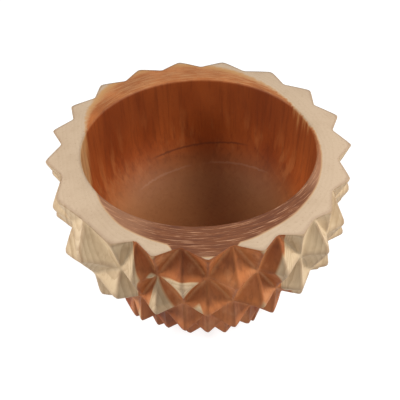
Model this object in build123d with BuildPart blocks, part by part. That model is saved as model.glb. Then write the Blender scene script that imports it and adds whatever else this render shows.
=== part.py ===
"""A spiked wooden bowl, turned and carved from one block, on four stick-on felt pads.

Millimetres. The origin is at the centre of the foot, on the table; +Z runs up the turning axis
and -Y is the front. The outside is cut into staggered rows of four-sided spikes. Row 1 is the
rim, whose teeth are half spikes cut off flat by the turned top face, and each row below is
turned by half a spike against the one above.
"""

import os
from math import cos, radians, sin

from build123d import *

# ---------------------------------------------------------------- overall sizes
rim_height = 168.0  # table to the flat top of the rim
rim_radius = 137.0  # turning axis to the notches between the rim teeth
shoulder_inset = 2.0  # the wall leans in this much from the rim down to the shoulder
shoulder_drop = 82.0  # rim down to the shoulder, where the wall turns in
shoulder_round = 50.0  # radius of the turn
foot_radius = 79.0  # corners of the flat foot
out_of_round = 3.5  # the block is this much wider and narrower than round
widest_bearing = 5.0  # direction of the widest part, in degrees from the front

# ---------------------------------------------------------------- carved spikes
# The teeth were set out by eye. These are their directions, in degrees from the front
# towards +X, and every row below takes its directions from them.
tooth_bearings = [2, 20, 34, 49, 69, 89, 108, 128, 148, 169, 187, 204, 222, 240, 257, 276, 298, 328, 344]
row_spread = 1.2  # each row is spread this much further from the front than the row above
row_count = 6  # the rim teeth and five rows of whole spikes
row_shrink = 0.9  # each gap between rows against the gap above it
spike_height = 17.5  # tip above the wall, square to the wall
rim_tooth_reach = 15.0  # tip of a rim tooth beyond its notches
rim_tooth_droop = 3.0  # tip of a rim tooth below the top face

# ---------------------------------------------------------------- turned hollow
rim_width = 24.0  # mouth to the notches between the rim teeth
hollow_lean = 8.0  # the hollow is this much narrower at the floor, before the round
hollow_round = 74.0  # radius between wall and floor
floor_thickness = 41.0  # foot up to the edge of the floor
floor_dish = 3.0  # middle of the floor below its edge
lip_round = 2.5  # softened inner edge of the rim

# ---------------------------------------------------------------- felt pads
pad_count = 4
pad_radius = 10.0
pad_thickness = 3.0
pad_edge_margin = 9.0  # rim of a pad inside the foot's flats

os.makedirs("parts", exist_ok=True)
foot_height = pad_thickness
spike_count = len(tooth_bearings)
half_steps = 2 * spike_count  # tips and notches take turns, half a spike apart


# ---------------------------------------------------------------- the carved outside
# The bottoms of the cuts lie on this line: nearly upright below the rim, then leaning in.
with BuildLine(Plane.XZ) as wall_line:
    Polyline(
        (rim_radius, rim_height),
        (rim_radius - shoulder_inset, rim_height - shoulder_drop),
        (foot_radius, foot_height),
    )
    fillet(wall_line.vertices().sort_by(Axis.Z)[1], radius=shoulder_round)
wall = wall_line.wires()[0]
if wall.position_at(0).Z < wall.position_at(1).Z:
    wall = Wire(wall.edges().sort_by(Axis.Z, reverse=True))


def share_down(level):
    """How far down the wall a level lies, from 0 at the rim to 1 at the foot."""
    return (1 - row_shrink**level) / (1 - row_shrink**row_count)


def bearing(level, half_step):
    """Direction of a tip or notch round the bowl, in degrees from the front."""
    turns, place = divmod(half_step, half_steps)
    bearings = tooth_bearings + [tooth_bearings[0] + 360]
    tooth = place // 2
    level_bearing = bearings[tooth]
    if place % 2:
        level_bearing = (bearings[tooth] + bearings[tooth + 1]) / 2
    return level_bearing + 360 * turns + row_spread * level * sin(radians(level_bearing))


def round_the_bowl(radius, height, level, half_step):
    """A point in the direction of a half step, at a height and a radius before the out-of-round."""
    direction = bearing(level, half_step)
    radius += out_of_round * cos(radians(2 * (direction - widest_bearing)))
    return Vector(radius * sin(radians(direction)), -radius * cos(radians(direction)), height)


def notch(level, half_step):
    """A low corner, where the cuts of four neighbouring spikes meet."""
    place = wall.position_at(share_down(level))
    return round_the_bowl(place.X, place.Z, level, half_step)


def tip(level, half_step):
    """The point of a spike in the row at this level; level 0 is the rim."""
    if level == 0:
        tooth_radius = rim_radius + rim_tooth_reach
        return round_the_bowl(tooth_radius, rim_height - rim_tooth_droop, level, half_step)
    place = wall.position_at(share_down(level))
    down = wall.tangent_at(share_down(level))
    tip_radius = place.X - spike_height * down.Z
    tip_height = place.Z + spike_height * down.X
    return round_the_bowl(tip_radius, tip_height, level, half_step)


def facet(*corners):
    """A flat face with these corners."""
    return Face(Wire.make_polygon(corners, close=True))


def rim_tooth(step):
    """The three faces of a half spike on the rim."""
    point, below = tip(0, step), notch(1, step)
    left, right = notch(0, step - 1), notch(0, step + 1)
    return [facet(point, left, right), facet(point, below, left), facet(point, right, below)]


def spike(level, step):
    """The four faces of a whole spike."""
    point = tip(level, step)
    corners = [
        notch(level - 1, step),
        notch(level, step - 1),
        notch(level + 1, step),
        notch(level, step + 1),
    ]
    return [facet(point, corners[side - 1], corners[side]) for side in range(4)]


def foot_gore(step):
    """The plain face under a spike of the last row but one, down to the foot."""
    last = row_count
    return facet(notch(last - 1, step), notch(last, step - 1), notch(last, step + 1))


first_row = range(0, half_steps, 2)
carved_faces = [face for step in first_row for face in rim_tooth(step)]
for row in range(1, row_count):
    row_steps = range(row % 2, half_steps, 2)
    carved_faces += [face for step in row_steps for face in spike(row, step)]
carved_faces += [foot_gore(step) for step in range(row_count % 2, half_steps, 2)]

top_corners = [notch(0, step) for step in range(1, half_steps, 2)]
foot_corners = [notch(row_count, step) for step in range((row_count + 1) % 2, half_steps, 2)]
carved_faces += [facet(*top_corners), facet(*foot_corners)]
carved_block = Solid(Shell(carved_faces))

# ---------------------------------------------------------------- bowl
mouth_radius = rim_radius - rim_width
floor_height = foot_height + floor_thickness
floor_edge = (mouth_radius - hollow_lean, floor_height)
lip_edge = (mouth_radius + lip_round, rim_height)
above_lip = (mouth_radius + lip_round, rim_height + lip_round)

with BuildPart() as bowl:
    add(carved_block)
    with BuildSketch(Plane.XZ) as hollow_section:
        with BuildLine() as hollow_line:
            hollow_floor = Line((0, floor_height - floor_dish), floor_edge)
            hollow_wall = Line(floor_edge, (mouth_radius, rim_height - lip_round))
            TangentArc(hollow_wall @ 1, lip_edge, tangent=hollow_wall % 1)
            Polyline(lip_edge, above_lip, (0, rim_height + lip_round), hollow_floor @ 0)
        make_face()
        floor_corner = hollow_section.vertices().sort_by_distance(floor_edge)[0]
        fillet(floor_corner, radius=hollow_round)
    revolve(axis=Axis.Z, mode=Mode.SUBTRACT)

bowl.part.label = "bowl"
export_step(bowl.part, "parts/bowl.step")

# ---------------------------------------------------------------- felt pads
foot_flat_radius = min(corner.X**2 + corner.Y**2 for corner in foot_corners) ** 0.5
foot_flat_radius *= cos(radians(180 / spike_count))
pad_circle_radius = foot_flat_radius - pad_edge_margin - pad_radius

for pad_number in range(1, pad_count + 1):
    pad_angle = radians((pad_number - 0.5) * 360 / pad_count)
    with BuildPart() as felt_pad:
        with BuildSketch(Plane.XY):
            with Locations((pad_circle_radius * cos(pad_angle), pad_circle_radius * sin(pad_angle))):
                Circle(pad_radius)
        extrude(amount=pad_thickness)
    felt_pad.part.label = f"felt_pad_{pad_number}"
    export_step(felt_pad.part, f"parts/felt_pad_{pad_number}.step")

print("bowl volume, cm3:", round(bowl.part.volume / 1000, 1), "valid:", bowl.part.is_valid)
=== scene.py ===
# %% [markdown]
# # A spiked wooden bowl
#
# The real bowl is one short log stood on end. It is turned on a lathe, hollowed, and then its
# outside is cut with a chisel into rows of four-sided spikes. All but the felt under the foot is
# the same piece of wood, so the lesson has two halves: a mesh that looks hand cut, and one wood
# whose colour comes from the place in the block, and in a few touches from how the surface faces
# or bends.
#
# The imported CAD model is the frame. It says where each spike is; this script adds what a
# chisel, sandpaper and oil add.

# %% Load the frame
import math

import bpy
import numpy as np
from mathutils import Matrix, Vector, noise


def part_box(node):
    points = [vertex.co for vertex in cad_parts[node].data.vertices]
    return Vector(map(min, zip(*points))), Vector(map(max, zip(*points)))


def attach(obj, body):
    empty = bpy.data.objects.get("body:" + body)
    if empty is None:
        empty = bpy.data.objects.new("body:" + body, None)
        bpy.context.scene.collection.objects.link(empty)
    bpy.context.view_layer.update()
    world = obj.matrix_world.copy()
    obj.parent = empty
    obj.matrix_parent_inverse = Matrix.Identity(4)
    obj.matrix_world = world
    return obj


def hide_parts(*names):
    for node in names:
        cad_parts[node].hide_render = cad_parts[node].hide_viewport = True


MM = 0.001
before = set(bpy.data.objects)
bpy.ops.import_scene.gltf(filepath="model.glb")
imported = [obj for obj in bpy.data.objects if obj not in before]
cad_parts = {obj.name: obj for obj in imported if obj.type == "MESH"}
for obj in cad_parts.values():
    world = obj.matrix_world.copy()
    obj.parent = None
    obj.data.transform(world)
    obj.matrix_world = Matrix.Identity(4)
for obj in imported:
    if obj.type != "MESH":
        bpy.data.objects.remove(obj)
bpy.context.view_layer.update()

# %% [markdown]
# ## The camera comes first
#
# A three-quarter view from above, with a short telephoto lens. The camera is placed by what it
# looks at: a point a little below the rim, along a line of sight that slopes down, from a
# distance counted in bowl radii. It is tipped a degree and a half about its own axis.

# %% Camera
rim_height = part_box("bowl")[1][2]
LOOK_DOWN = math.radians(41.42)
TIP_ABOUT_VIEW = math.radians(1.55)
BOWL_RADIUS = 150 * MM
LENS = 79.83  # mm
VIEW_DISTANCE = 5.694 * BOWL_RADIUS
VIEW_DROP = 0.351 * BOWL_RADIUS  # how far the line of sight passes below the mouth's centre

forward = Vector((0, math.cos(LOOK_DOWN), -math.sin(LOOK_DOWN)))
upward = Vector((0, math.sin(LOOK_DOWN), math.cos(LOOK_DOWN)))
camera = bpy.data.objects.new("camera", bpy.data.cameras.new("camera"))
bpy.context.scene.collection.objects.link(camera)
camera.data.lens = LENS
camera.data.clip_start = 0.05
camera.location = Vector((0, 0, rim_height)) - upward * VIEW_DROP - forward * VIEW_DISTANCE
upright = Matrix.Rotation(math.pi / 2 - LOOK_DOWN, 4, "X")
camera.rotation_euler = (upright @ Matrix.Rotation(-TIP_ABOUT_VIEW, 4, "Z")).to_euler()
bpy.context.scene.camera = camera
print("camera at, m:", [round(v, 3) for v in camera.location])

# %% [markdown]
# ## Reading the carving back from the CAD block
#
# The outside of the block is flat triangles between two kinds of corner: the tips of the
# spikes and the notches where four cuts meet. Each row of tips or notches lies at one height.
# So instead of typing the places again, we gather the corners of every face that looks
# outward, and sort them by height. If the block changes, this mesh follows.

# %% Corners of the CAD block, row by row
FIRST_BEARING = math.radians(-3)  # rows are counted round from just left of the front


def bearing_of(points):
    """Directions round the bowl, from the front towards +X, counted from FIRST_BEARING."""
    angle = np.arctan2(points[:, 0], -points[:, 1])
    return (angle - FIRST_BEARING) % (2 * math.pi) + FIRST_BEARING


def corner_rows(node):
    """The outer corners of the block: one array for each height, from the rim down."""
    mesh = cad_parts[node].data
    rows = {}
    for face in mesh.polygons:
        if face.normal.xy.dot(face.center.xy) > 0:
            for index in face.vertices:
                place = tuple(round(v, 5) for v in mesh.vertices[index].co)
                rows.setdefault(round(place[2], 4), set()).add(place)
    return [np.array(sorted(rows[height])) for height in sorted(rows, reverse=True)]


rows = corner_rows("bowl")
notch_rows, tip_rows = rows[0::2], rows[1::2]
spikes, levels = len(tip_rows[0]), len(tip_rows)
print(spikes, "spikes in each of", levels, "rows; corners in each row:", [len(r) for r in rows])

# %% [markdown]
# ## From flat facets to hand-cut ones
#
# Tips and notches take turns, half a spike apart, like the squares of a chess board. So the
# outside is a plain grid: across it run half spikes, down it run rows, and each cell is cut by
# a diagonal into two facets of neighbouring spikes. Filling every cell with a fine grid of
# points keeps that order, and makes it easy to bend the facets.
#
# No two spikes of a hand-carved bowl are quite alike, so each corner is first moved a little.
# The random numbers come from one seeded generator, so every run gives the same bowl.

# %% The board of corners
chance = np.random.default_rng(19)
half_steps = 2 * spikes
TIP_LOSS, TIP_DRIFT, NOTCH_DRIFT = 2.0 * MM, 1.5 * MM, 1.0 * MM
# The next tuples hold one value for each level, from the rim down. Lengths are in mm.
LOW_TIP_LOSS, LOW_NOTCH_FILL = (0, 0, 0, 0, 2, 4), (0, 0, 0, 1, 3, 4, 3)

# The block is a little square at the front. Near its two front corners the notches are cut less
# deep and the second row stands further out, and the spikes are set a little further round.
CORNER_BEARING, CORNER_WIDTH = 43, 17  # degrees to either side of the front
CORNER_NOTCH_FILL, CORNER_TIP_REACH = (9, 11, 7, 0, 0, 0, 0), (0, 8, 0, 0, 0, 0, 0)
CORNER_TURN = (1.5, 3.5, 2.5, 1.5, 0, 0, 0)  # degrees


def hand_moved(points, inward, drift):
    """Corners moved by the carver's hand: never outward, so the bowl stays in its size."""
    bearing = bearing_of(points)
    out = np.stack([np.sin(bearing), -np.cos(bearing), np.zeros(len(points))], axis=1)
    along = np.stack([np.cos(bearing), np.sin(bearing), np.zeros(len(points))], axis=1)
    moved = points - out * chance.uniform(0, inward, (len(points), 1))
    moved += along * chance.uniform(-drift, drift, (len(points), 1))
    moved[:, 2] += chance.uniform(-drift, drift, len(points))
    return moved


def board_row(level):
    """All the corners of a level in order round the bowl, tips and notches in turn."""
    notches = notch_rows[level]
    if level == levels:
        notches = notches[np.argsort(bearing_of(notches))]
        middles = (notches + np.roll(notches, 1, axis=0)) / 2
        return np.stack([middles, notches], axis=1).reshape(-1, 3)
    tips = tip_rows[level]
    if level > 0:
        tips = hand_moved(tips, TIP_LOSS, TIP_DRIFT)
        notches = hand_moved(notches, NOTCH_DRIFT, NOTCH_DRIFT)
    corners = np.concatenate([tips, notches])
    return corners[np.argsort(bearing_of(corners))]


def cut_by_hand(level, half_step, corner):
    """A corner where it really is: moved near the front corners, shallower in the low rows."""
    angle = math.atan2(corner[0], -corner[1])
    nearness = math.exp(-(((abs(math.degrees(angle)) - CORNER_BEARING) / CORNER_WIDTH) ** 2))
    is_tip = (level + half_step) % 2 == 0 and level < levels
    outward = (CORNER_TIP_REACH if is_tip else CORNER_NOTCH_FILL)[level] * nearness
    outward += -LOW_TIP_LOSS[level] if is_tip else LOW_NOTCH_FILL[level]
    angle += math.radians(CORNER_TURN[level] * nearness)
    reach = math.hypot(corner[0], corner[1]) + outward * MM
    return (reach * math.sin(angle), -reach * math.cos(angle), corner[2])


board = np.array([
    [cut_by_hand(level, step, corner) for step, corner in enumerate(board_row(level))]
    for level in range(levels + 1)
])
print("board of corners:", board.shape)

# %% [markdown]
# A facet cut by a chisel isn't flat. The blade sinks deepest in the middle of its stroke, so
# the facet is slightly hollow, and the valley between two facets dips between its ends. A
# point of a facet is a mix of three corners, the tip and two notches, and products of the
# three shares give exactly these shapes: they vanish at the corners and peak in between.

# %% Fill the cells
CELL_STEPS = 14
FACET_HOLLOW, VALLEY_DIP = 1.0 * MM, 2.6 * MM
TIP_WEAR = 0.07  # share of the spike's height that is worn off its point

columns, outer_rows = half_steps * CELL_STEPS, levels * CELL_STEPS + 1
row_index, column_index = np.meshgrid(np.arange(outer_rows), np.arange(columns), indexing="ij")
level_of = np.minimum(row_index // CELL_STEPS, levels - 1)
step_of = column_index // CELL_STEPS
down = (row_index / CELL_STEPS - level_of)[..., None]
across = (column_index / CELL_STEPS - step_of)[..., None]
tip_first = ((level_of + step_of) % 2 == 0)[..., None]
across_tip = np.where(tip_first, across, 1 - across)  # counted from the side of the upper tip

next_step = (step_of + 1) % half_steps
top_left, top_right = board[level_of, step_of], board[level_of, next_step]
low_left, low_right = board[level_of + 1, step_of], board[level_of + 1, next_step]
upper_tip = np.where(tip_first, top_left, top_right)
upper_notch = np.where(tip_first, top_right, top_left)
lower_tip = np.where(tip_first, low_right, low_left)
lower_notch = np.where(tip_first, low_left, low_right)

share = 1 - across_tip - down  # share of the upper tip, or minus the share of the lower one
in_upper = share >= 0
tip_share = np.abs(share)
upper_notch_share = np.where(in_upper, across_tip, 1 - down)
lower_notch_share = 1 - tip_share - upper_notch_share
tip_point = np.where(in_upper, upper_tip, lower_tip)
outside = tip_point * tip_share + upper_notch * upper_notch_share
outside += lower_notch * lower_notch_share

under_tip = (upper_notch + lower_notch) / 2
worn = TIP_WEAR * tip_share**7
outside -= (tip_point - under_tip) * worn
outward = outside * [1, 1, 0]
outward /= np.linalg.norm(outward, axis=2, keepdims=True)
notch_product = upper_notch_share * lower_notch_share
outside -= outward * (27 * FACET_HOLLOW * tip_share * notch_product)
outside -= outward * (4 * VALLEY_DIP * notch_product * (1 - tip_share))
print("outside grid:", outside.shape[:2])

# %% [markdown]
# ## The turned surfaces
#
# The rim, the hollow and the foot are lathe work: one outline spun round the axis. The rim is
# not quite flat; it rolls over towards the teeth. The hollow's outline is a leaning wall, a
# wide round and a slightly dished floor, with a softened lip. Each of them continues the
# columns of the carved grid, so the whole bowl is a single closed skin. The outline comes first.

# %% Outline of the hollow
MOUTH_RADIUS = 113 * MM
HOLLOW_LEAN = 8 * MM
HOLLOW_ROUND = 74 * MM
FLOOR_HEIGHT = 44 * MM
FLOOR_DISH = 3 * MM
LIP_ROUND = 2.5 * MM


def rounded_corner(before, corner, after, radius, steps):
    """Points of the arc that rounds a corner of an outline."""
    to_before, to_after = (before - corner).normalized(), (after - corner).normalized()
    half = to_before.angle(to_after) / 2
    centre = corner + (to_before + to_after).normalized() * (radius / math.sin(half))
    start = corner + to_before * (radius / math.tan(half)) - centre
    turn = start.angle_signed(corner + to_after * (radius / math.tan(half)) - centre)
    return [centre + Matrix.Rotation(-turn * i / steps, 2) @ start for i in range(steps + 1)]


def evenly(start, end, steps):
    """Points along a straight stretch, without its last one."""
    return [start.lerp(end, i / steps) for i in range(steps)]


floor_middle = Vector((0, FLOOR_HEIGHT - FLOOR_DISH))
floor_edge = Vector((MOUTH_RADIUS - HOLLOW_LEAN, FLOOR_HEIGHT))
lip_start = Vector((MOUTH_RADIUS, rim_height - LIP_ROUND))
lip_corner = Vector((MOUTH_RADIUS, rim_height))
lip_end = Vector((MOUTH_RADIUS + LIP_ROUND, rim_height))
floor_round = rounded_corner(floor_middle, floor_edge, lip_start, HOLLOW_ROUND, 24)
hollow_outline = evenly(floor_middle, floor_round[0], 9)[1:] + floor_round
hollow_outline += evenly(floor_round[-1], lip_start, 12)[1:]
hollow_outline += rounded_corner(lip_start, lip_corner, lip_end, LIP_ROUND, 4)
print("hollow outline points:", len(hollow_outline))

# %% [markdown]
# A grid of rows and columns now covers the bowl: up the hollow, out over the rim, down the
# carving and in under the foot. Each column keeps one direction on the turned parts, so every
# row joins the next without a seam, and each rim tooth ends in the carved edge itself.

# %% One grid of rows for the whole bowl
RIM_ROWS, FOOT_ROWS = 12, 7
RIM_FLAT_RADIUS, RIM_TIP_RADIUS, RIM_DROOP = 121 * MM, 152 * MM, 3 * MM


def rim_surface(radius):
    """Height of the turned rim: level near the mouth, rolling over towards the teeth."""
    share = np.clip((radius - RIM_FLAT_RADIUS) / (RIM_TIP_RADIUS - RIM_FLAT_RADIUS), 0, 1.2)
    return rim_height - RIM_DROOP * share**1.5


edge = outside[0]
edge_radius = np.hypot(edge[:, 0], edge[:, 1])
edge[:, 2] = rim_surface(edge_radius)
direction = edge[:, :2] / edge_radius[:, None]


def spun(radius, height):
    """A row of points at a radius and height, one in the direction of each column."""
    radius, height = np.broadcast_to(radius, columns), np.broadcast_to(height, columns)
    return np.column_stack([direction * radius[:, None], height])


skin = [spun(point.x, point.y) for point in hollow_outline]
rim_start = MOUTH_RADIUS + LIP_ROUND
for row in range(1, RIM_ROWS):
    radius = rim_start + (edge_radius - rim_start) * row / RIM_ROWS
    skin.append(spun(radius, rim_surface(radius)))
first_outer_row = len(skin)
skin.extend(outside)
foot_edge = outside[-1]
for row in range(1, FOOT_ROWS):
    skin.append(foot_edge * [1 - row / FOOT_ROWS, 1 - row / FOOT_ROWS, 1])
skin = np.array(skin)
print("skin grid:", skin.shape[:2])

# %% [markdown]
# ## Sandpaper, then a living surface
#
# Sanding rounds ridges and tips a little. Moving each point part of the way to the middle of its
# four neighbours does the same: sharp places move most and flat ones stay. Every pass rounds them
# more, and a bowl with crisp ridges needs only one. After that the surface gets a faint
# unevenness, as a chisel leaves behind, by a three-dimensional noise along the outward direction.

# %% Sand and roughen the carved part
SANDING_PASSES, SANDING = 1, 0.45
TOOL_DEPTH, TOOL_SIZE = 0.45 * MM, 14 * MM


def neighbour_average(grid):
    """The mean of each point's four neighbours, inside the grid's first and last rows."""
    mean = np.roll(grid, 1, axis=1) + np.roll(grid, -1, axis=1)
    mean[1:-1] += grid[2:] + grid[:-2]
    return mean[1:-1] / 4


sanded = slice(first_outer_row - 1, first_outer_row + outer_rows - 2)
for _ in range(SANDING_PASSES):
    block = skin[sanded.start - 1 : sanded.stop + 1]
    skin[sanded] += SANDING * (neighbour_average(block) - block[1:-1])


def tool_marks(point):
    """How far the chisel left this place above or below the true facet, from -1 to 1."""
    place = Vector(point) / TOOL_SIZE
    return noise.noise(place) + 0.4 * noise.noise(place * 2.7)


carved = skin[first_outer_row + 1 : first_outer_row + outer_rows - 1]
marks = np.array([tool_marks(point) for point in carved.reshape(-1, 3)])
out = carved * [1, 1, 0]
out /= np.linalg.norm(out, axis=2, keepdims=True)
carved += out * (TOOL_DEPTH * (marks.reshape(carved.shape[:2]) - 1))[..., None]
lowest, highest = (round(v * TOOL_DEPTH / MM, 2) for v in (marks.min(), marks.max()))
print("tool marks, mm:", lowest, "to", highest)

# %% [markdown]
# The grid becomes faces. On the turned parts four neighbours make one face. On the carving each
# square is cut along the diagonal that lies in a valley, because the other diagonal would cross
# the valley and blunt it. A point in the middle of the floor and of the foot closes the skin.

# %% Make the mesh
total_rows = len(skin)


def index_of(row, column):
    return row * columns + column % columns


faces = []
for row in range(total_rows - 1):
    outer_row = row - first_outer_row
    carved_row = 0 <= outer_row < outer_rows - 1
    for column in range(columns):
        a, b = index_of(row, column), index_of(row, column + 1)
        c, d = index_of(row + 1, column + 1), index_of(row + 1, column)
        if not carved_row:
            faces.append((a, b, c, d))
        elif (outer_row // CELL_STEPS + column // CELL_STEPS) % 2:
            faces += [(a, b, c), (a, c, d)]
        else:
            faces += [(a, b, d), (b, c, d)]

points = [tuple(point) for point in skin.reshape(-1, 3)]
floor_centre, foot_centre = len(points), len(points) + 1
points += [(0, 0, floor_middle.y), (0, 0, foot_edge[0][2])]
for column in range(columns):
    faces.append((floor_centre, index_of(0, column + 1), index_of(0, column)))
    last = total_rows - 1
    faces.append((foot_centre, index_of(last, column), index_of(last, column + 1)))

bowl_mesh = bpy.data.meshes.new("carved_bowl")
bowl_mesh.from_pydata(points, [], faces)
bowl_mesh.shade_smooth()
bowl_mesh.update()
bowl = bpy.data.objects.new("carved_bowl", bowl_mesh)
bpy.context.scene.collection.objects.link(bowl)
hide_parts("bowl")
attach(bowl, "root")
skin_area = sum(face.area for face in bowl_mesh.polygons)
print("bowl mesh:", len(points), "points,", len(faces), "faces")
print("skin area, m2:", round(skin_area, 3))

# %% [markdown]
# ## Shader maths as plain Python
#
# A wood that runs through the block is a formula on the place x, y, z. In Blender a formula is
# a chain of Math nodes, which is slow to write and hard to read. This small class wraps an
# output socket, so that an ordinary expression adds the nodes.


# %% A socket that can be added and multiplied
class Value:
    """One number that varies over the surface, as an output socket of a node."""

    def __init__(self, finish, socket):
        self.finish, self.socket = finish, socket

    def math(self, operation, *others):
        sockets = dict(enumerate((self, *others)))
        return self.finish.node("ShaderNodeMath", {"operation": operation}, sockets)

    def __add__(self, other):
        return self.math("ADD", other)

    def __sub__(self, other):
        return self.math("SUBTRACT", other)

    def __rsub__(self, other):
        return (self * -1) + other

    def __mul__(self, other):
        return self.math("MULTIPLY", other)

    def __truediv__(self, other):
        return self.math("DIVIDE", other)

    def __rtruediv__(self, other):
        return self.finish.node("ShaderNodeMath", {"operation": "DIVIDE"}, {0: other, 1: self})

    __radd__ = __add__
    __rmul__ = __mul__

    def fraction(self):
        return self.math("FRACT")

    def root(self):
        return self.math("SQRT")

    def wave(self):
        return self.math("SINE")


# %% [markdown]
# The second class is a material under construction. It knows the place and the facing of each
# point, and its one method for nodes takes a type, the settings, and what goes into the
# sockets. The other methods are short names for the few patterns that wood and felt need.

# %% A finish
class Finish:
    """A material under construction: its node tree, and short ways to add to it."""

    def __init__(self, name):
        self.material = bpy.data.materials.new(name)
        self.material.use_nodes = True
        self.tree = self.material.node_tree
        self.shader = self.tree.nodes["Principled BSDF"]
        here = self.tree.nodes.new("ShaderNodeTexCoord")
        self.place = Value(self, here.outputs["Object"])
        self.surface = Value(self, here.outputs["Normal"])

    def node(self, kind, settings=None, sockets=None, output=0):
        """Adds a node, sets it up, connects its inputs, and returns one output."""
        made = self.tree.nodes.new(kind)
        for name, value in (settings or {}).items():
            setattr(made, name, value)
        for key, value in (sockets or {}).items():
            self.feed(made.inputs[key], value)
        return Value(self, made.outputs[output])

    def feed(self, target, value):
        """Connects a value to an input, or types a plain number or colour into it."""
        if isinstance(value, Value):
            self.tree.links.new(value.socket, target)
        else:
            target.default_value = value

    def split(self, vector):
        """The x, y and z of a vector."""
        return [
            self.node("ShaderNodeSeparateXYZ", sockets={0: vector}, output=axis)
            for axis in range(3)
        ]

    def combined(self, *parts):
        """A vector from three values."""
        return self.node("ShaderNodeCombineXYZ", None, dict(enumerate(parts)))

    def stretched(self, scale):
        """The place, multiplied axis by axis, for patterns longer one way than another."""
        settings = {"operation": "MULTIPLY"}
        return self.node("ShaderNodeVectorMath", settings, {0: self.place, 1: scale})

    def grain(self, scale, detail=2.0, roughness=0.5):
        """Noise from 0 to 1, with a scale for each axis."""
        sockets = {"Vector": self.stretched(scale), "Scale": 1.0}
        sockets |= {"Detail": detail, "Roughness": roughness}
        return self.node("ShaderNodeTexNoise", {"normalize": True}, sockets)

    def step(self, value, start, end):
        """0 below start, 1 above end, and a smooth rise between."""
        settings = {"interpolation_type": "SMOOTHSTEP", "clamp": True}
        return self.node("ShaderNodeMapRange", settings, {0: value, 1: start, 2: end})

    def mixed(self, share, first, second, blend="MIX"):
        """A colour between two colours, by a share from 0 to 1."""
        settings = {"data_type": "RGBA", "blend_type": blend}
        return self.node("ShaderNodeMix", settings, {0: share, 6: first, 7: second}, output=2)


# %% [markdown]
# ## The wood
#
# A log's heartwood is the dark core and its sapwood the pale outside. The log stands upright
# in the bowl, so seen from above, the border between them is one closed curve, and it is nearly
# the same at every height. It lies a little off centre, it is an oval, longer front to back, and
# it has three soft corners. Each of these is one wave round the axis: one bulge for off centre,
# two for an oval, three for three corners. A slow noise along the grain makes it less regular.

# %% Place and border
BORDER_MEAN = 129 * MM
# Each wave has its number of bulges, its size in mm, and the direction of a bulge in degrees.
OFF_CENTRE, OVAL, SOFT_CORNERS = (1, 5, -165), (2, 18, 12), (3, 5, -30)
RING_GAP = 4.4 * MM

wood = Finish("oiled_two_tone_wood")
x, y, z = wood.split(wood.place)
normal_z = wood.split(wood.surface)[2]
radius = (x * x + y * y).root()
bearing = x.math("ARCTAN2", y * -1)
border = wood.grain((14, 14, 3), 2.0) * (6 * MM) + (BORDER_MEAN - 3 * MM)
for bulges, size, toward in (OFF_CENTRE, OVAL, SOFT_CORNERS):
    turn = bearing * bulges + (math.pi / 2 - math.radians(bulges * toward))
    border = border + turn.wave() * (size * MM)
print("wood nodes for the border:", len(wood.tree.nodes))

# %% [markdown]
# Here the curve stops being plain geometry. At the front, heartwood covers the facets that look
# sideways, while it reaches out along only one of the rim's teeth. No curve that is the same at
# every height gives that. So at the front the border is pushed out wherever the wood looks
# sideways, less so low down on the left, and near the top of the front tooth it is pushed out
# whichever way the wood looks. It is a painter's touch: here the rim and the facets below it
# don't share a border. At the back the border is a wide, soft change of colour, and the fibres
# carry it up and down in streaks. The cells below make the patterns first, then the border.

# %% Grain patterns
fibres = wood.grain((430, 430, 12), 3.0, 0.6)
streaks = wood.grain((230, 230, 4), 3.0, 0.6)
clouds = wood.grain((20, 20, 7), 2.0)
speckle = wood.grain((260, 260, 110), 3.0, 0.6)
round_the_axis = wood.combined(radius * 1500, bearing * 7.0, z * 20)
lathe_sockets = {"Vector": round_the_axis, "Scale": 1.0, "Detail": 3.0}
lathe = wood.node("ShaderNodeTexNoise", None, lathe_sockets)
end_grain = wood.step(normal_z.math("ABSOLUTE"), 0.55, 0.92)
print("wood nodes with the grain:", len(wood.tree.nodes))

# %% Pushed out at the front, soft at the back
FRONT_FLARE, LOW_FLARE_LOSS, FRONT_TONGUE = 16 * MM, 12 * MM, 10 * MM


def between(value, low, high, soft):
    """1 between two directions, in degrees, falling to 0 outside them."""
    rise = wood.step(value, math.radians(low - soft), math.radians(low + soft))
    return rise * wood.step(value, math.radians(high + soft), math.radians(high - soft))


sideways = 1 - wood.step(normal_z, 0.72, 0.9)
low_front = wood.step(z, 150 * MM, 126 * MM) * between(bearing, -19.5, 0, 1.5)
flare = between(bearing, -24.5, 31, 2.5) * sideways * (FRONT_FLARE - low_front * LOW_FLARE_LOSS)
border = border + flare
tongue = between(bearing, -10, 12, 2.5) * wood.step(z, 126 * MM, 150 * MM)
border = border + tongue * FRONT_TONGUE
back_left = wood.step(y - x * 0.3, 40 * MM, 130 * MM)
softness = back_left * (9 * MM) + 1.7 * MM
back = wood.step(y, -30 * MM, 30 * MM)
depth = (border - radius + (streaks - 0.5) * back * (6 * MM)) / softness
print("wood nodes:", len(wood.tree.nodes))

# %% [markdown]
# The colours come next, from pale to dark. Rings are earlier borders of the tree, so the
# distance from the axis as a share of the border counts them. Each ring ends in a thin dark
# line, and a random number for each ring makes some lines strong and others weak. Looking
# along the fibres, on the rim and the floor, the rings show as fine lines; looking across
# them, on the walls, the fibres themselves show as upright streaks.

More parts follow.
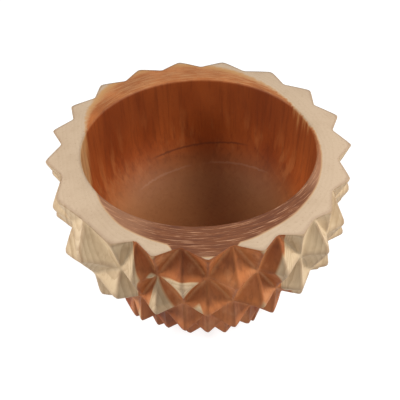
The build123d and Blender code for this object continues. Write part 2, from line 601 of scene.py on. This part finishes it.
# %% Colours
SAP = (0.575, 0.43, 0.265, 1)
SAP_SHADE = (0.36, 0.235, 0.125, 1)
SAP_END = (0.92, 0.92, 1.05, 1)
GOLD = (0.50, 0.265, 0.105, 1)
BACK_TAN = (0.56, 0.31, 0.145, 1)
HEART = (0.285, 0.076, 0.018, 1)
HEART_ORANGE = (0.47, 0.155, 0.045, 1)
HEART_DARK = (0.14, 0.036, 0.012, 1)
FLOOR_BROWN = (0.36, 0.168, 0.066, 1)
SMEAR = (0.60, 0.30, 0.13, 1)
CARAMEL = (0.62, 0.29, 0.125, 1)
RIDGE_WEAR_AND_HIGHLIGHT = (0.66, 0.30, 0.115, 1)
PURPLE_BROWN = (0.09, 0.036, 0.024, 1)
RIM_BROWN = (0.17, 0.065, 0.032, 1)
TAN_LINE = (0.50, 0.28, 0.165, 1)
print("colours chosen, from sap", SAP[:3], "to dark heart", HEART_DARK[:3])

# %% [markdown]
# Before the colours are laid on, a few masks say where each one belongs: inside the hollow, on
# the rim, along the fibres or across them. The rings are counted outward from the axis.

# %% Masks and rings
inside = wood.step(radius, 114.5 * MM, 113 * MM) * wood.step(z, 168 * MM, 165 * MM)
inside = inside * wood.step(z, 30 * MM, 40 * MM)
ring_count = radius / border * (BORDER_MEAN / RING_GAP) + speckle * 0.4 + clouds * 1.6
ring = ring_count.fraction()
ring_number = ring_count.math("FLOOR")
ring_strength = wood.node(
    "ShaderNodeTexWhiteNoise", {"noise_dimensions": "1D"}, {"W": ring_number}
)
late_wood = wood.step(ring, 0.2, 0.92) * (1 - wood.step(ring, 0.93, 1.0))
ring_line = late_wood * ring_strength
rim_share = end_grain * wood.step(z, 120 * MM, 150 * MM)
print("wood nodes with the rings:", len(wood.tree.nodes))

# %% [markdown]
# The heartwood is laid on in thin coats, as a painter would: clouds of orange, dark streaks along
# the fibres, a browner floor, and on the rim the fine broken lines that a lathe tool leaves.

# %% Heartwood
heart_tone = wood.mixed(wood.step(clouds, 0.3, 0.7), HEART, HEART_ORANGE)
near_border = 1 - wood.step(border - radius, 1 * MM, 16 * MM)
heart_tone = wood.mixed(near_border * 0.4, heart_tone, HEART_ORANGE)
along = 1 - end_grain
dark_streak = wood.step(streaks, 0.46, 0.7) * along * (0.25 + inside * 0.12)
heart_tone = wood.mixed(dark_streak, heart_tone, HEART_DARK)
heart_tone = wood.mixed(ring_line * 0.2, heart_tone, HEART_DARK)
on_floor = wood.step(normal_z, 0.25, 0.85) * wood.step(z, 130 * MM, 100 * MM) * inside
heart_tone = wood.mixed(on_floor * 0.85, heart_tone, FLOOR_BROWN)
smears = wood.step(wood.grain((75, 75, 17), 3.0, 0.6), 0.5, 0.68) * inside
smears = smears * wood.step(z, 165 * MM, 80 * MM)
heart_tone = wood.mixed(smears * (1 - on_floor * 0.85) * 0.4, heart_tone, SMEAR)
# Painted shade: the upper part of the inner wall is darkened.
upper_wall_shade = inside * wood.step(z, 95 * MM, 150 * MM) * (1 - on_floor)
heart_tone = wood.mixed(upper_wall_shade * 0.36, heart_tone, HEART_DARK)
patches = wood.grain((50, 50, 36), 3.0, 0.6)
outer = 1 - inside
light_patch = wood.step(patches, 0.5, 0.7) * outer * along
dark_patch = wood.step(patches, 0.46, 0.3) * outer * along
heart_tone = wood.mixed(light_patch * 0.4, heart_tone, CARAMEL)
heart_tone = wood.mixed(dark_patch * 0.45, heart_tone, HEART_DARK)
rim_tone = wood.mixed(wood.step(lathe, 0.38, 0.58), PURPLE_BROWN, RIM_BROWN)
rim_tone = wood.mixed(wood.step(lathe, 0.58, 0.67) * 0.9, rim_tone, TAN_LINE)
tan_side = between(bearing, 58, 130, 9) + between(bearing, -62, -22, 8) * 0.7
rim_tone = wood.mixed(tan_side * 0.5, rim_tone, TAN_LINE)
front_rim = rim_share * wood.step(y, 40 * MM, -60 * MM)
heart_tone = wood.mixed(front_rim * 0.85, heart_tone, rim_tone)
back_rim = rim_share * wood.step(y, 40 * MM, 90 * MM)
back_lines = back_rim * (0.10 + wood.step(lathe, 0.44, 0.62) * 0.42)
heart_tone = wood.mixed(back_lines, heart_tone, BACK_TAN)
print("wood nodes with the heartwood:", len(wood.tree.nodes))

# %% [markdown]
# The sapwood needs less: pale cream, ring lines where a facet slices along them, and soft stains.
# Then the two woods meet at the border, and the edges are painted: ridges are paler, partly the
# wear of hands and partly a painted highlight, and valleys are darker with painted shade.
# Pointiness, a measure of how sharp the mesh is, finds both.

# %% Sapwood, and the two together
sap_ring = ring_line * (0.75 - end_grain * 0.62)
sap_tone = wood.mixed(sap_ring + wood.step(clouds, 0.45, 0.8) * 0.3, SAP, SAP_SHADE)
sap_tone = wood.mixed(wood.step(fibres, 0.5, 0.8) * 0.2, sap_tone, SAP_SHADE)
sap_tone = wood.mixed(wood.step(patches, 0.48, 0.68) * (along * 0.34 + 0.12), sap_tone, SAP_SHADE)
end_tone = wood.mixed(1.0, sap_tone, SAP_END, "MULTIPLY")
sap_tone = wood.mixed(end_grain * 0.8, sap_tone, end_tone)
golden = wood.step(depth, 0.0, 0.6) * (0.6 + back_left * 0.4)
wood_tone = wood.mixed(golden, sap_tone, GOLD)
heart = wood.step(depth, 0.4, 1.5)
wood_tone = wood.mixed(heart, wood_tone, heart_tone)
wood_tone = wood.mixed(wood.step(fibres, 0.56, 0.8) * 0.2, wood_tone, HEART_DARK)

mottle = wood.step(speckle, 0.52, 0.66)
wood_tone = wood.mixed(mottle * heart * 0.12, wood_tone, HEART_DARK)
edges = wood.node("ShaderNodeNewGeometry", output=7)  # above 0.5 on ridges, below it in valleys
# Ridges: real wear rubbed pale, together with a painted highlight where sharp edges catch the
# light.
worn_and_highlit_ridge = wood.step(edges, 0.51, 0.55) * outer * along
rubbed_and_highlit_tone = wood.mixed(heart, SAP, RIDGE_WEAR_AND_HIGHLIGHT)
wood_tone = wood.mixed(worn_and_highlit_ridge * (0.1 + speckle * 0.45), wood_tone, rubbed_and_highlit_tone)
# Painted shade: the valleys between facets are darkened.
valley_shade = wood.step(edges, 0.495, 0.44) * outer
wood_tone = wood.mixed(valley_shade * 0.3, wood_tone, HEART_DARK)
print("wood nodes:", len(wood.tree.nodes))

# %% [markdown]
# Inside the hollow the wood is multiplied deeper and redder: painted shade, with the red of light
# bounced round the hollow, and less of it on the floor. On the way down the wall the gouge left a
# thin dark line and a thin light one, where the wall starts to turn into the floor.

# %% The hollow's painted shade
# The colour that multiplies the wood inside the hollow: painted shade.
HOLLOW_SHADE = (0.80, 0.55, 0.36, 1)


def gouge_line(height, width, lean, start, end):
    """A thin line round part of the wall at a height, leaning a little, broken by the grain."""
    away = (z - x * lean + speckle * (3 * MM) - height).math("ABSOLUTE")
    stretch = between(bearing.math("ABSOLUTE"), start, end, 6)
    return wood.step(away, width, width * 0.2) * stretch * inside


# Painted shade in the hollow: darker and redder, weaker on the floor.
hollow_shade_tone = wood.mixed(1.0, wood_tone, HOLLOW_SHADE, "MULTIPLY")
shaded_wood_tone = wood.mixed(inside * (1 - on_floor * 0.6), wood_tone, hollow_shade_tone)
shaded_wood_tone = wood.mixed(gouge_line(90 * MM, 1.6 * MM, 0.12, 152, 190) * 0.7, shaded_wood_tone, HEART_DARK)
shaded_wood_tone = wood.mixed(gouge_line(71 * MM, 1.3 * MM, 0.1, 134, 172) * 0.24, shaded_wood_tone, TAN_LINE)
print("wood nodes:", len(wood.tree.nodes))

# %% [markdown]
# Oiled wood has a dull gloss, uneven along its fibres. The relief is far too fine for the mesh:
# open fibres, the lathe's lines on the rim, and the harder end of each ring, as a bump.

# %% Gloss and relief
wood.feed(wood.shader.inputs["Base Color"], shaded_wood_tone)
wood.feed(wood.shader.inputs["Roughness"], 0.5 + fibres * 0.14 + ring_line * 0.05)
wood.shader.inputs["Specular IOR Level"].default_value = 0.18
relief = fibres * 0.5 + lathe * rim_share * 0.6 + ring_line * 0.4
bump = wood.node(
    "ShaderNodeBump", None, {"Strength": 0.4, "Distance": 0.3 * MM, "Height": relief}
)
wood.feed(wood.shader.inputs["Normal"], bump)
bowl.data.materials.append(wood.material)
print("wood nodes in all:", len(wood.tree.nodes))

# %% [markdown]
# ## Felt pads
#
# Under the foot sit four stick-on discs of pressed felt. A disc is an outline spun round an
# upright axis: flat where it is glued, with a slightly swollen, rounded edge. Pressed felt has
# no weave, so its finish is a soft, tangled noise and a high roughness.

# %% Felt finish
felt = Finish("pressed_felt")
fluff = felt.grain((900, 900, 900), 4.0, 0.7)
felt_tone = felt.grain((120, 120, 120), 2.0)
felt_colour = felt.mixed(fluff, (0.035, 0.022, 0.014, 1), (0.10, 0.07, 0.048, 1))
felt_colour = felt.mixed(felt_tone * 0.4, felt_colour, (0.06, 0.045, 0.035, 1))
felt.feed(felt.shader.inputs["Base Color"], felt_colour)
felt.feed(felt.shader.inputs["Roughness"], 0.85 + fluff * 0.15)
felt.shader.inputs["Sheen Weight"].default_value = 0.4
felt_bump = felt.node(
    "ShaderNodeBump", None, {"Strength": 0.6, "Distance": 0.4 * MM, "Height": fluff}
)
felt.feed(felt.shader.inputs["Normal"], felt_bump)
print("felt nodes:", len(felt.tree.nodes))

# %% [markdown]
# The outline of a disc is worked out once, and each point of it becomes a ring of points. The
# knife that punches felt never cuts a perfect circle, so each ring wobbles by about a hundredth.

# %% Make the pads
PAD_SIDES, PAD_EDGE, PAD_WOBBLE = 48, 0.8 * MM, 0.012


def pad_outline(radius, bottom, top):
    """Half of a pad's section: out along the bottom, round its edge, and back along the top."""
    outline = [(radius * 0.5, bottom), (radius - PAD_EDGE, bottom)]
    for step in range(1, 5):
        angle = math.pi / 2 * step / 4
        inset = PAD_EDGE * (1 - math.sin(angle))
        outline.append((radius - inset, bottom + PAD_EDGE * (1 - math.cos(angle))))
    return outline + [(radius - PAD_EDGE * 0.15, top), (radius * 0.5, top)]


def pad_ring(centre, reach, height):
    """A ring of points round a pad, a little out of round."""
    ring = []
    for side in range(PAD_SIDES):
        angle = 2 * math.pi * side / PAD_SIDES
        place = Vector((math.cos(angle), math.sin(angle), height / MM)) * 3
        wobbly = reach * (1 - PAD_WOBBLE * (1 + noise.noise(place)))
        across, along_y = wobbly * math.cos(angle), wobbly * math.sin(angle)
        ring.append((centre.x + across, centre.y + along_y, height))
    return ring


def felt_disc(node, name):
    """A round pad with softened edges, in the space of its CAD node."""
    low, high = (Vector(corner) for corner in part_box(node))
    centre, pad_radius = (low + high) / 2, (high.x - low.x) / 2
    outline = pad_outline(pad_radius, low.z, high.z)
    points = [point for reach, height in outline for point in pad_ring(centre, reach, height)]
    bottom, top = len(points), len(points) + 1
    points += [(centre.x, centre.y, low.z), (centre.x, centre.y, high.z)]
    faces = []
    last_ring = (len(outline) - 1) * PAD_SIDES
    for side in range(PAD_SIDES):
        after = (side + 1) % PAD_SIDES
        for start in range(0, last_ring, PAD_SIDES):
            above = start + PAD_SIDES
            faces.append((start + side, start + after, above + after, above + side))
        faces.append((bottom, after, side))
        faces.append((top, last_ring + side, last_ring + after))
    mesh = bpy.data.meshes.new(name)
    mesh.from_pydata(points, [], faces)
    mesh.shade_smooth()
    mesh.materials.append(felt.material)
    pad = bpy.data.objects.new(name, mesh)
    bpy.context.scene.collection.objects.link(pad)
    return pad


for number in range(1, 5):
    pad = felt_disc(f"felt_pad_{number}", f"felt_disc_{number}")
    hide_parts(f"felt_pad_{number}")
    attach(pad, "root")
print("felt pads made")

# %% [markdown]
# ## A white studio
#
# The bowl stands on a white table that is lit from below through its surface, as product
# tables are, so it stays white and its shadows almost vanish. Towards the camera the table glows
# white; towards the bowl it gives a little less, so that it doesn't flatten the carving.

# %% Floor
TABLE_HALF = 6.0  # m
TABLE_GLOW = 0.84
corners = [(-1, -1), (1, -1), (1, 1), (-1, 1)]
floor_mesh = bpy.data.meshes.new("studio_table")
table_points = [(u * TABLE_HALF, v * TABLE_HALF, 0) for u, v in corners]
floor_mesh.from_pydata(table_points, [], [(0, 1, 2, 3)])
floor = bpy.data.objects.new("studio_table", floor_mesh)
bpy.context.scene.collection.objects.link(floor)
acrylic = Finish("white_acrylic")
haze = acrylic.grain((3, 3, 3), 2.0)
white = acrylic.mixed(haze, (0.29, 0.29, 0.29, 1), (0.31, 0.31, 0.31, 1))
acrylic.feed(acrylic.shader.inputs["Base Color"], white)
acrylic.shader.inputs["Roughness"].default_value = 0.9
acrylic.shader.inputs["Specular IOR Level"].default_value = 0.1
seen = acrylic.node("ShaderNodeLightPath")
glow = acrylic.mixed(seen, (0.72, 0.72, 0.72, 1), (1, 1, 1, 1))
acrylic.feed(acrylic.shader.inputs["Emission Color"], glow)
acrylic.shader.inputs["Emission Strength"].default_value = TABLE_GLOW
floor_mesh.materials.append(acrylic.material)
print("table, m across:", 2 * TABLE_HALF)

# %% [markdown]
# The room is a soft even white. Two square soft boxes stand to the right and to the left, the
# right one stronger and higher. Light from both sides leaves the facets that face the front
# darker than their neighbours, and the right box reaches over the rim to the floor inside.

# %% Lights
ROOM_LIGHT = 0.33
world = bpy.data.worlds.new("white_room")
bpy.context.scene.world = world
world.use_nodes = True
world.node_tree.nodes["Background"].inputs["Color"].default_value = (1, 1, 1, 1)
world.node_tree.nodes["Background"].inputs["Strength"].default_value = ROOM_LIGHT


def soft_box(name, place, size, power):
    """A square lamp at a place, turned to face the bowl."""
    data = bpy.data.lights.new(name, "AREA")
    data.size, data.energy = size, power
    lamp = bpy.data.objects.new(name, data)
    lamp.location = place
    sight = Vector((0, 0, 0.1)) - Vector(place)
    lamp.rotation_euler = sight.to_track_quat("-Z", "Y").to_euler()
    bpy.context.scene.collection.objects.link(lamp)


soft_box("right_box", (0.97, -0.24, 0.88), 0.45, 14.5)
soft_box("left_box", (-0.99, -0.22, 0.66), 0.45, 10.5)
bpy.context.scene.view_settings.view_transform = "Standard"
print("lamps:", len(bpy.data.lights))
